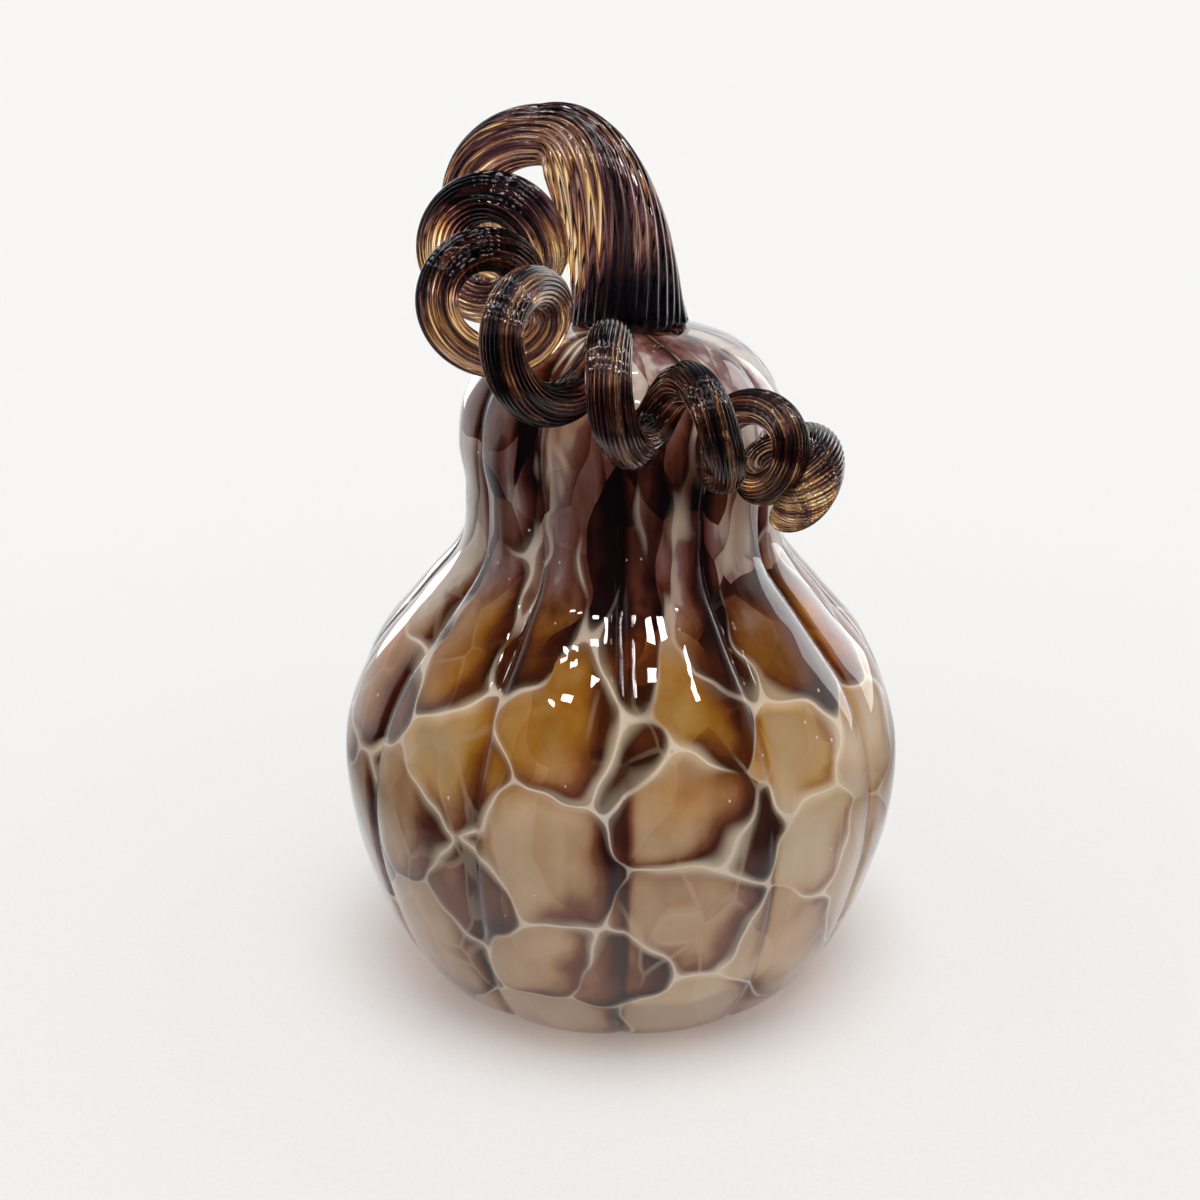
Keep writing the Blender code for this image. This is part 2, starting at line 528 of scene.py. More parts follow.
        depth = self.depth(tree, borders, inside, tone, side, random)
        along = remap(tree, depth, (-0.75, 1.25))
        belly = ramp(tree, along, self.belly_stops, ease=False)
        shoulder = ramp(tree, along, self.shoulder_stops, ease=False)
        neck = ramp(tree, along, self.neck_stops, ease=False)
        chips = self.by_zone(tree, borders, (belly, shoulder, neck))
        vein = self.by_zone(tree, borders, (linear("#ead6ba"), linear("#e8d2ae"), linear("#dccab4")))
        smear = node(tree, "TexNoise", in_0=place, Scale=34.0, Detail=1.0).outputs["Fac"]
        thin = remap(tree, smear, (0.38, 0.60), (0.35, 1.0))
        veined = blend(tree, thin, chips, vein)
        cover = remap(tree, edge, (-1.3, 1.9), smooth=True)
        patched = blend(tree, cover, veined, chips)
        # A pale crest down the middle of wide veins: partly a pale seam in the glass, partly a painted
        # highlight.
        crest = remap(tree, raw, (0.60, 0.10), smooth=True)
        wide = remap(tree, width, (-1.5, 0.5), (0.0, 0.8))
        line = maths(tree, "MULTIPLY", crest, wide)
        seam_and_highlight = blend(tree, line, patched, linear("#fbeedb"))
        hair = remap(tree, rift, (0.045, 0.012), smooth=True)
        patchy = remap(tree, smear, (0.50, 0.62), (0.0, 0.30))
        low = maths(tree, "SUBTRACT", 1.0, borders[1])
        patchy = maths(tree, "MULTIPLY", patchy, low)
        hairline = maths(tree, "MULTIPLY", hair, patchy)
        colour = blend(tree, hairline, seam_and_highlight, vein)

        greys = tuple((grey, grey, grey, 1) for grey in self.clearness)
        share = self.by_zone(tree, borders, greys)
        clear = maths(tree, "MULTIPLY", share, cover)
        tint = self.by_zone(tree, borders, (linear("#d0a988"), linear("#c4822c"), linear("#5a302c")))
        body = node(tree, "BsdfDiffuse", Color=colour)
        glow = node(tree, "BsdfTranslucent", Color=colour)
        milky = layered(tree, self.milk, body.outputs[0], glow.outputs[0])
        window = node(tree, "BsdfTransparent", Color=tint)
        glass = layered(tree, clear, milky, window.outputs[0])
        path = node(tree, "LightPath").outputs["Is Shadow Ray"]
        passing = maths(tree, "MULTIPLY", path, self.passes)
        stained = node(tree, "BsdfTransparent", Color=linear("#e6d2be"))
        tree.links.new(layered(tree, passing, glass, stained.outputs[0]), out.inputs["Surface"])
        return material


@dataclass(frozen=True)
class SeedAir:
    """Air in glass: each bubble is a tiny bright ring, because light turns back at its wall, and a pale matt
    share adds a painted highlight to it.
    """

    inverse_ior: float = 0.667
    # Share of each bubble painted pale as its highlight.
    pale: float = 0.5

    def material(self) -> bpy.types.Material:
        """Builds the bubble's wall, seen from the glass side."""
        material, tree, out = new_material("air_bubble_in_glass")
        air = node(
            tree,
            "BsdfPrincipled",
            Base_Color=linear("#ffffff"),
            Roughness=0.0,
            IOR=self.inverse_ior,
            Transmission_Weight=1.0,
        )
        # Painted highlight: a pale matt share brightens the bubble's ring.
        ring = node(tree, "BsdfDiffuse", Color=linear("#f6ecdc"))
        both = layered(tree, self.pale, air.outputs[0], ring.outputs[0])
        tree.links.new(shadow_clear(tree, both, linear("#ffffff")), out.inputs["Surface"])
        return material


@dataclass(frozen=True)
class StemGlass:
    """Transparent amber gather rolled in amethyst threads, so dark streaks run along its ribs."""

    ior: float = 1.5
    gloss: float = 0.28
    streaks: float = 2.3
    stretch: float = 10.0
    # How much the stored darkening, mostly painted shade, darkens the glass.
    shade_darkening: float = 0.17
    ribs: int = 28
    valley: float = 0.035

    def material(self) -> bpy.types.Material:
        """Builds the streaked glass from the rod's own fields: angle round it, length along it, and a stored
        darkening that is mostly painted shade.
        """
        material, tree, out = new_material("amber_amethyst_cane_glass")
        around = stored(tree, "around")
        along = stored(tree, "along")
        angle = maths(tree, "MULTIPLY", around, 2 * math.pi)
        c = maths(tree, "COSINE", angle)
        s = maths(tree, "SINE", angle)
        length = maths(tree, "MULTIPLY", along, self.stretch)
        place = node(tree, "CombineXYZ", X=c, Y=s, Z=length).outputs[0]
        noise = node(tree, "TexNoise", in_0=place, Scale=self.streaks, Detail=1.6, Roughness=0.5)
        streaks = noise.outputs["Fac"]
        # Darker where the rod stores its darkening, mostly painted shade.
        stored_shade_darkening = stored(tree, "shade_darkening")
        less = maths(tree, "MULTIPLY_ADD", stored_shade_darkening, -self.shade_darkening, streaks)
        ribbed = maths(tree, "MULTIPLY", angle, self.ribs)
        crest = maths(tree, "COSINE", ribbed)
        less = maths(tree, "MULTIPLY_ADD", crest, self.valley, less)
        tint = ramp(
            tree,
            less,
            (
                (0.31, "#0c0609"),
                (0.38, "#3a1e26"),
                (0.42, "#8a6264"),
                (0.455, "#2a1216"),
                (0.495, "#8a5028"),
                (0.53, "#ecb868"),
                (0.575, "#fff2d0"),
                (0.62, "#f0c078"),
                (0.72, "#5a3024"),
            ),
        )
        glass = node(
            tree,
            "BsdfPrincipled",
            Base_Color=tint,
            Roughness=0.0,
            IOR=self.ior,
            Specular_IOR_Level=self.gloss,
            Transmission_Weight=1.0,
        )
        tree.links.new(shadow_clear(tree, glass.outputs[0], linear("#d8b48c")), out.inputs["Surface"])
        return material


@dataclass(frozen=True)
class TablePaper:
    """Matt white paper under the glass: even and bright, with only a soft shadow.

    The glass mirrors it only as far as the front edge, and the dark room beyond that.
    """

    edge: float = 0.13

    def material(self) -> bpy.types.Material:
        """Builds the paper."""
        material, tree, out = new_material("matt_white_paper")
        place = node(tree, "TexCoord").outputs["Object"]
        fibre = node(tree, "TexNoise", in_0=place, Scale=900.0, Detail=2.0).outputs["Fac"]
        tint = ramp(tree, fibre, ((0.3, "#eeeeee"), (0.7, "#f1f1f1")))
        paper = node(tree, "BsdfPrincipled", Base_Color=tint, Roughness=0.9, Specular_IOR_Level=0.0)
        ahead = node(tree, "SeparateXYZ", in_0=place).outputs["Y"]
        forward = remap(tree, ahead, (0.25, 0.02))
        away = node(tree, "VectorMath", {"operation": "LENGTH"}, in_0=place).outputs["Value"]
        outer = remap(tree, away, (self.edge, self.edge + 0.07))
        beyond = maths(tree, "MULTIPLY", forward, outer)
        glossy = node(tree, "LightPath").outputs["Is Glossy Ray"]
        gone = maths(tree, "MULTIPLY", beyond, glossy)
        room = node(tree, "BsdfDiffuse", Color=linear("#16242c"))
        tree.links.new(layered(tree, gone, paper.outputs[0], room.outputs[0]), out.inputs["Surface"])
        return material


# Body -------------------------------------------------------------------------


class Wall(Enum):
    """The pressed surfaces of the cased wall: its clear skins, or the colour between them."""

    OUTSIDE = "outside"
    COLOUR = "colour"


@dataclass
class BlownBody:
    """The hollow lobed body: a clear wall with the colour layer held inside it."""

    outline: tuple = (
        (45.0, 0.0),
        (55.0, 3.6),
        (64.8, 17.4),
        (71.0, 34.8),
        (74.9, 53.3),
        (74.6, 73.3),
        (67.6, 91.7),
        (54.2, 108.3),
        (43.4, 122.3),
        (41.4, 138.0),
        (42.6, 150.5),
        (40.2, 163.0),
        (31.8, 173.0),
        (19.0, 178.0),
        (9.0, 179.0),
    )
    girth: float = 70.0
    wall: float = 4.5
    colour_depth: float = 2.3
    floor: float = 7.5
    pontil_radius: float = 13.0
    pontil_depth: float = 1.2
    lobes: int = 12
    groove_at_shoulder: float = 3.2
    groove_at_foot: float = 1.7
    shoulder: float = 112.0
    groove_width: float = 1.4
    narrowness: float = 0.42
    # How deep in mm, how wide in mm, and the seed of each swell that the hand left in the wall.
    unevenness: tuple = ((0.22, 34.0, 3), (0.10, 15.0, 5), (0.035, 7.0, 6))
    steps: int = 384
    per_span: int = 11
    # Patches on the front, as azimuth in degrees from the front, height in mm, extra size in mm
    # squared and how dark it is.
    front_patches: tuple = (
        (-13, 95, 60, 0.0),
        (17, 97, 20, 0.1),
        (-45, 106, 60, 0.3),
        (-37, 82, 40, -0.5),
        (-49, 62, 60, 0.1),
        (-30, 46, -60, 0.8),
        (-14, 60, 90, 0.1),
        (12, 74, 40, 0.0),
        (14, 46, 40, 0.2),
        (-17, 36, 0, 0.2),
        (-1, 30, -90, 0.9),
        (14, 17, 0, 0.1),
        (-14, 13, 0, 0.1),
        (2, 88, -110, 0.9),
        (25, 66, -110, 0.9),
        (42, 60, 30, -0.5),
        (35, 34, 0, 0.0),
        (58, 50, 20, 0.0),
        (47, 106, 90, 0.5),
        (38, 84, 20, -0.9),
        (62, 78, 0, -0.9),
        (-44, 32, 0, 0.1),
        (-65, 92, 0, 0.2),
        (-68, 56, 0, 0.2),
        (2, 116, 40, 0.7),
        (24, 121, 20, 0.8),
        (-20, 120, 30, 0.9),
        (-31, 130, -80, -1.0),
        (-8, 138, 60, 1.0),
        (12, 143, 20, 0.6),
        (26, 141, -60, -1.0),
        (-42, 146, 20, 0.5),
        (38, 152, 0, 0.4),
        (5, 124, -90, -0.6),
        (48, 130, 0, 0.5),
        (-58, 132, 0, 0.6),
        (-20, 152, -20, 0.6),
        (-3, 160, -80, -0.7),
        (64, 108, 0, 0.2),
        (-66, 116, 0, -0.3),
    )
    colour_steps: int = 420
    # Distance squared given to a family that has no patch.
    nowhere: float = 1e5
    seed: int = 11

    def outline_points(self) -> np.ndarray:
        """The outside outline as a fine row of radius and height, from foot to lip."""
        spans = len(self.outline) - 1
        place = np.linspace(0, spans, spans * self.per_span + 1)
        return catmull_rom(np.array(self.outline), place)[0]

    def inset_outline(self, depth: float) -> np.ndarray:
        """The outline moved straight inwards by depth, in mm."""
        outer = self.outline_points()
        along = np.gradient(outer, axis=0)
        along /= np.linalg.norm(along, axis=1)[:, None]
        return outer + depth * np.column_stack([-along[:, 1], along[:, 0]])

    def groove_depth(self, height: np.ndarray) -> np.ndarray:
        """Depth of the grooves in mm at each height."""
        rise = np.clip(height / self.shoulder, 0, 1)
        gain = self.groove_at_shoulder - self.groove_at_foot
        low = self.groove_at_foot + gain * np.sin(0.5 * np.pi * rise) ** 2
        top = self.outline[-1][1]
        fall = np.clip((top - height) / (top - self.shoulder), 0, 1)
        return np.where(height < self.shoulder, low, self.groove_at_shoulder * np.sqrt(fall))

    def lobe_inset(self, angle: np.ndarray, height: np.ndarray, radius: np.ndarray) -> np.ndarray:
        """How far each spot lies inside the outline because of the lobes, in mm.

        Args:
            angle: azimuth from the X axis, in radians.
            height: mm above the foot.
            radius: mm from the axis.

        Returns:
            The inset in mm: round-bottomed narrow grooves between broad soft lobes.
        """
        turn = 2 * math.pi / self.lobes
        count = (angle + 0.5 * math.pi + self.lean(angle, height)) / turn
        away = (count - np.round(count)) * turn
        crest = np.sqrt(np.sin(math.pi * count) ** 2 + 0.0015)
        narrow = np.exp(-((away * radius / self.groove_width) ** 2))
        each = 1.0 + 0.12 * np.sin(5.0 * np.round(count) + 0.7)
        broad = 1.0 - np.minimum(crest, 1.0) ** 0.8
        return self.groove_depth(height) * each * ((1.0 - self.narrowness) * broad + self.narrowness * narrow)

    def groove_shade(self, points: np.ndarray) -> np.ndarray:
        """Painted shade along each groove, from 0 to 1: a soft dark band, wide on one side of the groove and
        narrow on the other.
        """
        radius = np.maximum(np.hypot(points[:, 0], points[:, 1]), 5.0)
        angle = np.arctan2(points[:, 1], points[:, 0])
        turn = 2 * math.pi / self.lobes
        count = (angle + 0.5 * math.pi + self.lean(angle, points[:, 2])) / turn
        away = (count - np.round(count)) * turn * radius
        broad = smoothstep(45.0, 70.0, points[:, 2])
        wide = np.where(away < 0, 3.2 + 2.6 * broad, 0.9 + 1.4 * broad)
        depth = (self.groove_depth(points[:, 2]) / self.groove_at_shoulder) ** 0.5
        return np.exp(-((away / wide) ** 2)) * depth * (0.75 + 0.25 * wobble(points, 18.0, 9))

    def lean(self, angle: np.ndarray, height: np.ndarray) -> np.ndarray:
        """How far the grooves wander from straight, in radians."""
        return 0.012 * np.sin(height / 31.0 + 2.0 * angle) + 0.010 * np.sin(3 * angle + 1.0)

    def press(self, piece: bpy.types.Object, surface: Wall) -> None:
        """Presses the optic lobes into a spun piece, and leaves the hand's unevenness in it."""
        points = coordinates(piece.data) / MM
        radius = np.hypot(points[:, 0], points[:, 1])
        angle = np.arctan2(points[:, 1], points[:, 0])
        height = points[:, 2]
        outer = self.outline_points()
        rising = np.argsort(outer[:, 1])
        skin = np.interp(height, outer[rising, 1], outer[rising, 0])
        inside = (radius < skin - 0.5 * self.wall) & (height < 172.0)
        share = np.where(inside, 0.6, 1.0) if surface is Wall.OUTSIDE else np.full(len(radius), 0.62)
        inset = share * self.lobe_inset(angle, height, np.maximum(radius, 20.0)) * np.clip(radius / 30, 0, 1)
        uneven = sum(size * wobble(points, wave, seed) for size, wave, seed in self.unevenness)
        foot = (height < 2.0) & (radius < self.outline[0][0] + 1.0)
        fade = smoothstep(0.0, 12.0, height)
        inset = np.where(foot, 0.0, inset - uneven * fade)
        scale = np.where(radius > 1e-6, (radius - inset) / np.maximum(radius, 1e-6), 1.0)
        points[:, :2] *= scale[:, None]
        set_coordinates(piece.data, points * MM)

    def casing(self) -> bpy.types.Object:
        """The clear wall: outside, lip, inside and base as one closed shell."""
        inner = self.inset_outline(self.wall)
        inner = inner[inner[:, 1] > self.floor + 1.5][::2]
        inner[-1] = (self.outline[-1][0], self.outline[-1][1] - self.wall)
        start = [(r, self.floor) for r in (0.0, 12.0, 24.0, 36.0)]
        rim = self.pontil_radius
        hollow = [(rim + 1.2, 0.0), (rim, 0.4), (rim - 2.0, self.pontil_depth), (0.0, self.pontil_depth)]
        base = [(40.0, 0.0), (28.0, 0.0), *hollow]
        profile = np.vstack([start, inner, self.outline_points()[::-1], base])
        piece = spun("clear_casing", profile, self.steps)
        self.press(piece, Wall.OUTSIDE)
        piece.data.materials.append(ClearCasing().material())
        return piece

    def patches(self) -> np.ndarray:
        """Places of all colour patches: those listed for the front, and the rest scattered evenly."""
        draw = np.random.default_rng(self.seed)
        rows = [list(row) for row in self.front_patches]
        levels = (14, 38, 63, 88, 110, 130, 150, 168)
        for k, level in enumerate(levels):
            count = 14 if level < 100 else 11
            for step in range(count):
                azimuth = (step + 0.5 * (k % 2)) * 360 / count
                azimuth = (azimuth + 180) % 360 - 180 + draw.uniform(-6, 6)
                rise = level + draw.uniform(-6, 6)
                dark = draw.uniform(-0.3, 0.9)
                size = draw.uniform(-60, 60)
                if level < 148 and abs(azimuth) < 70:
                    continue
                rows.append([azimuth, rise, size, dark])
        return np.array(rows, float)

    def flow(self, azimuth: np.ndarray, height: np.ndarray) -> tuple[np.ndarray, np.ndarray]:
        """Where a spot was before the neck was drawn out.

        Args:
            azimuth: radians.
            height: mm.

        Returns:
            Distance round and distance up on the undrawn bubble, in mm.
        """
        squeezed = height - 0.55 * np.maximum(height - 104.0, 0.0)
        low = np.minimum(height - 24.0, 0.0)
        return azimuth * self.girth, squeezed + 0.8 * low

    def families(self, power: np.ndarray, most: int) -> np.ndarray:
        """Shares the patches out so that no two that touch are in one family.

        Args:
            power: how far each spot (a row) is from each patch (a column).
            most: how many families there may be.

        Returns:
            The family of each patch.
        """
        nearest = np.argpartition(power, 1, axis=1)[:, :2]
        count = power.shape[1]
        touch = np.zeros((count, count), bool)
        touch[nearest[:, 0], nearest[:, 1]] = True
        touch |= touch.T
        left = touch.copy()
        order = []
        for _ in range(count):
            degree = np.where(np.isin(np.arange(count), order), count + 1, left.sum(1))
            order.append(int(degree.argmin()))
            left[:, order[-1]] = False
        family = np.full(count, -1)
        for k in reversed(order):
            family[k] = min(set(range(most)) - set(family[touch[k]]), default=0)
        return family

    def patch_fields(self, points: np.ndarray) -> dict[str, np.ndarray]:
        """What the colour layer's material reads at each spot.

        Args:
            points: rows of x, y and z in mm.

        Returns:
            By name: for each family of patches the distance, tone and side of its nearest one, half
            the width of the vein in mm, and how dark the glass is before the patches are laid on, with
            painted shade in the grooves and on the lobes' sides.
        """
        azimuth = np.arctan2(points[:, 0], -points[:, 1])
        height = points[:, 2]
        u, v = self.flow(azimuth, height)
        v = v + 3.0 * wobble(points, 30.0, 21) + 1.5 * wobble(points, 12.0, 22)
        u = u + 3.0 * wobble(points, 30.0, 23) + 1.5 * wobble(points, 12.0, 24)
        seeds = self.patches()
        su, sv = self.flow(np.radians(seeds[:, 0]), seeds[:, 1])
        around = 2 * math.pi * self.girth
        du = (u[:, None] - su + around / 2) % around - around / 2
        dv = v[:, None] - sv
        power = du**2 + dv**2 - seeds[:, 2]
        side = np.clip((0.8 * du - 0.6 * dv) / 12.0, -1, 1)
        fields = {}
        family = self.families(power, ColourLayer.families)
        rows = np.arange(len(u))
        for k in range(ColourLayer.families):
            mine = np.flatnonzero(family == k)
            if not len(mine):
                fields[f"patches_{k}"] = np.full((len(u), 3), (self.nowhere, 0.0, 0.0))
                continue
            best = mine[power[:, mine].argmin(1)]
            fields[f"patches_{k}"] = np.column_stack([power[rows, best], seeds[best, 3], side[rows, best]])

        upper = smoothstep(98.0, 112.0, height)
        high = smoothstep(104.0, 122.0, height)
        swell = wobble(points, 24.0, 31)
        pooled = np.maximum(wobble(points, 16.0, 32), 0)
        fields["vein_width"] = 0.5 + 2.0 * swell + 1.2 * pooled - 1.2 * upper - 0.9 * high
        lobe = (np.arctan2(points[:, 1], points[:, 0]) + 0.5 * math.pi) * self.lobes / (2 * math.pi)
        # Painted shade: each lobe lighter in its middle and darker towards its sides.
        flank_painted_shade = (1.0 - np.abs(np.sin(math.pi * lobe))) ** 2
        # The darkness adds painted shade on the lobes' sides and in the grooves to the glass's own tone.
        dark = 0.35 * flank_painted_shade * upper + 1.3 * self.groove_shade(points)
        dark = dark - 0.25 * upper * (1 - high) - 0.34 * high
        dark += 0.12 * smoothstep(60.0, 100.0, height) - 0.25 * smoothstep(45.0, 12.0, height)
        outer = smoothstep(30.0, 46.0, np.hypot(points[:, 0], points[:, 1]))
        dark += 0.9 * smoothstep(9.0, 1.0, height) * outer
        dark += high * 0.30 * wobble(points * (1.0, 1.0, 0.16), 9.0, 51)
        fields["darkness"] = dark - 0.24
        return fields

    def colour_layer(self) -> bpy.types.Object:
        """The colour held in the wall, as one closed skin."""
        skin = self.inset_outline(self.colour_depth)
        skin = skin[skin[:, 1] > self.colour_depth + 0.2]
        top = self.outline[-1][1] - self.colour_depth
        cap = [(r, top) for r in (6.0, 3.0, 0.0)]
        bottom = [(r, self.colour_depth) for r in (0.0, 10.0, 20.0, 30.0, 38.0, 43.0, 46.0)]
        profile = np.vstack([bottom, skin, cap])[::-1]
        piece = spun("colour_layer", profile, self.colour_steps)
        fields = self.patch_fields(coordinates(piece.data) / MM)
        self.press(piece, Wall.COLOUR)
        for name, values in fields.items():
            store(piece.data, name, values)
        piece.data.materials.append(ColourLayer().material())
        return piece


@dataclass
class Seeds:
    """Tiny air bubbles, which glassmakers call seeds, caught in the clear casing."""

    body: BlownBody
    count: int = 90
    depth: float = 1.15
    sizes: tuple = (0.20, 0.42)
    seed: int = 8

    def build(self) -> bpy.types.Object:
        """Scatters the bubbles under the skin, most of them on the shoulder."""
        draw = np.random.default_rng(self.seed)
        outline = self.body.inset_outline(self.depth)
        height = np.clip(draw.normal(88.0, 26.0, self.count), 12.0, 150.0)
        azimuth = draw.uniform(-math.pi, math.pi, self.count)
        rising = np.argsort(outline[:, 1])
        radius = np.interp(height, outline[rising, 1], outline[rising, 0])
        radius -= 0.8 * self.body.lobe_inset(azimuth, height, radius)
        bubbles = []
        for k in range(self.count):
            deselect_all()
            place = (radius[k] * math.cos(azimuth[k]), radius[k] * math.sin(azimuth[k]), height[k])
            bpy.ops.mesh.primitive_ico_sphere_add(
                subdivisions=2, radius=draw.uniform(*self.sizes) * MM, location=[c * MM for c in place]
            )
            bubble = bpy.context.object
            bubble.scale = (1.0, 1.0, draw.uniform(1.0, 1.7))
            bubbles.append(bubble)
        deselect_all()
        for bubble in bubbles:
            bubble.select_set(True)
        bpy.context.view_layer.objects.active = bubbles[0]
        bpy.ops.object.join()
        bpy.ops.object.transform_apply(location=True, rotation=True, scale=True)
        bpy.ops.object.shade_smooth()
        piece = bpy.context.object
        piece.name = piece.data.name = "glass_seeds"
        piece.data.materials.append(SeedAir().material())
        return piece


# Stem -------------------------------------------------------------------------


@dataclass
class CurledStem:
    """The solid stem: a trunk that arches over and a tapering right-handed coil with fine ribs."""

    turns: tuple = (
        (-12.3, 42.9, 219.8, 22.4, 6.0, 9.4),
        (-25.6, 12.1, 206.6, 15.5, 13.0, 7.2),
        (-34.5, -3.4, 198.4, 11.6, 7.5, 6.2),
        (-34.4, -23.3, 189.0, 11.3, 14.5, 5.2),
        (-19.9, -44.8, 182.4, 12.6, 11.0, 5.2),
        (-1.3, -53.7, 172.6, 10.8, 7.5, 5.3),
        (18.2, -53.9, 164.6, 10.5, 12.0, 4.7),
        (34.2, -44.8, 158.3, 8.9, 12.5, 4.4),
        (39.6, -42.8, 149.2, 11.0, 37.5, 5.7),
    )
    first_turn: float = -0.5
    arch_turn: float = 0.25
    last_turn: float = 7.8
    loop_height: float = 0.906
    loop_tilt: float = 0.476
    tip_length: float = 13.0
    foot_centre: tuple = (1.5, 0.0)
    body_top: float = 179.0
    foot_gap: float = 0.3
    foot_radius: float = 14.0
    foot_flare: float = 0.4
    toe_reach: float = 1.2
    trunk_rise: float = 11.0
    trunk_lean: float = 16.0
    ribs: int = 28
    per_rib: int = 6
    rib_depth: float = 0.5
    ring_spacing: float = 1.1

    def coil(self, turn: np.ndarray) -> tuple[np.ndarray, np.ndarray]:
        """Centre of the rod at each turn of the curl, and its radius, in mm."""
        row, rate = catmull_rom(np.array(self.turns), turn - self.first_turn)
        ahead = rate[:, :3] * (1.0, 1.0, self.loop_tilt)
        ahead /= np.linalg.norm(ahead, axis=1)[:, None]
        up = np.array((0.0, 0.0, 1.0)) - ahead * ahead[:, 2:]
        up /= np.linalg.norm(up, axis=1)[:, None]
        across = np.cross(ahead, up)
        angle = 2 * math.pi * (turn - self.arch_turn) - np.radians(row[:, 4])
        offset = self.loop_height * np.cos(angle)[:, None] * up + np.sin(angle)[:, None] * across
        return row[:, :3] + row[:, 3:4] * offset, row[:, 5]

    def centreline(self) -> tuple[np.ndarray, np.ndarray]:
        """The whole rod's centre from foot to tip at even spacing, and its radius, in mm."""
        turns = np.linspace(self.arch_turn, self.last_turn, 1500)
        curl, curl_radius = self.coil(turns)
        heading = curl[1] - curl[0]
        heading /= np.linalg.norm(heading)
        start = np.array((*self.foot_centre, self.body_top + self.foot_gap))
        rise = start + (0.0, 0.0, self.trunk_rise)
        lean = curl[0] - heading * self.trunk_lean
        t = np.linspace(0, 1, 120, endpoint=False)[:, None]
        s = 1 - t
        trunk = s**3 * start + 3 * s * s * t * rise + 3 * s * t * t * lean + t**3 * curl[0]
        trunk_radius = curl_radius[0] + (self.foot_radius - curl_radius[0]) * (1 - t[:, 0] ** 3)
        line = np.vstack([trunk, curl])
        radius = np.concatenate([trunk_radius, curl_radius])
        length = np.concatenate([[0.0], np.cumsum(np.linalg.norm(np.diff(line, axis=0), axis=1))])
        even = np.linspace(0, length[-1], int(length[-1] / self.ring_spacing) + 1)
        line = np.column_stack([np.interp(even, length, line[:, k]) for k in range(3)])
        radius = np.interp(even, length, radius)
        left = np.clip((length[-1] - even) / self.tip_length, 0, 1)
        return line, radius * np.sqrt(np.clip(1 - 0.985 * (1 - left) ** 2, 0.0, 1))

    def frames(self, line: np.ndarray) -> tuple[np.ndarray, np.ndarray]:
        """Two directions across the rod at every ring, carried along it without twist."""
        ahead = np.gradient(line, axis=0)
        ahead /= np.linalg.norm(ahead, axis=1)[:, None]
        ahead[0] = (0, 0, 1)
        side = np.empty_like(line)
        side[0] = (1, 0, 0)
        for k in range(1, len(line)):
            carried = side[k - 1] - ahead[k] * (side[k - 1] @ ahead[k])
            side[k] = carried / np.linalg.norm(carried)
        return side, np.cross(ahead, side)

    def smokiness(
        self, share: np.ndarray, length: np.ndarray, outward: np.ndarray, rise: np.ndarray, level: np.ndarray
    ) -> np.ndarray:
        """How much darker the rod is: darkest at the foot, with painted shade over the tight turns, most at
        their tops and bottoms, on the outside of the arch's bend and on top of the loops.

        Args:
            share: 0 at the foot to 1 at the tip.
            length: mm from the foot.
            outward: -1 inside the bend to 1 outside it.
            rise: -1 under the rod to 1 on top of it.
            level: mm above the middle of the loop.

        Returns:
            A share from 0 to 1 for every spot.
        """
        foot = 1.5 * np.exp(-((length / 11.0) ** 2))
        # Painted shade: the tight turns darker, most at their tops and bottoms.
        tight = smoothstep(0.42, 0.52, share) * smoothstep(0.93, 0.84, share)
        painted_pole_shade = smoothstep(0.45, 0.95, np.abs(rise))
        arch = smoothstep(95.0, 75.0, length)
        # Painted shade on the outside of the arch's bend and on top of each loop after it.
        bend = 0.85 * smoothstep(-0.25, 0.75, outward) * arch
        loop = 0.9 * smoothstep(-4.0, 9.0, level) * (1 - arch) * smoothstep(1.0, 0.9, share)
        return np.clip(foot + tight * (0.40 + 0.60 * painted_pole_shade) + (bend + loop) * (1 - tight), 0, 1.5)

    def rod(self) -> bpy.types.Object:
        """The ribbed rod with its spread foot and its twisted tip, as one closed skin."""
        line, radius = self.centreline()
        side, other = self.frames(line)
        rings = len(line)
        round_count = self.ribs * self.per_rib
        deselect_all()
        bpy.ops.mesh.primitive_grid_add(x_subdivisions=round_count, y_subdivisions=rings - 1, size=1.0)
        piece = bpy.context.object
        piece.name = piece.data.name = "ribbed_stem"
        count = len(piece.data.vertices)
        columns = round_count + 1
        ring, column = np.divmod(np.arange(count), columns)
        length = ring * self.ring_spacing
        total = length.max()
        phase = 2 * math.pi * column / round_count
        left = total - length
        twist = 0.010 * length + 7.0 * np.exp(-left / 17.0) + 0.5 * np.sin(length / 60.0)
        foot = np.exp(-length / 2.6)
        shape = self.rib_depth * (radius[ring] / 6.0) ** 0.6 * smoothstep(0.0, 1.5, radius[ring])
        crest = 0.5 - 0.5 * np.cos(self.ribs * phase)
        grown = radius[ring] - shape * crest**1.4
        grown += self.foot_flare * np.exp(-length / 4.0)
        toes = (0.5 + 0.5 * np.cos(7 * phase + 0.6)) ** 2 * (0.65 + 0.35 * np.cos(phase - 0.4))
        grown += self.toe_reach * toes * np.exp(-((length / 3.2) ** 2)) + 0.5 * foot * np.cos(4 * phase)
        grown -= 1.6 * np.clip(1 - length / 1.4, 0, 1) ** 2
        grown += 0.10 * wobble(line[ring], 24.0, 41)
        angle = phase + twist
        across = np.cos(angle)[:, None] * side[ring] + np.sin(angle)[:, None] * other[ring]
        points = line[ring] + np.maximum(grown, 0.02)[:, None] * across
        spread = np.hypot(points[:, 0], points[:, 1])
        dome = np.interp(spread, (9.0, 14.0, 19.0, 24.0), (0.0, 0.45, 1.1, 2.6))
        points[:, 2] -= (dome + self.foot_gap + 0.25) * np.exp(-((length / 2.4) ** 2))
        set_coordinates(piece.data, points * MM)
        store(piece.data, "around", column / round_count)
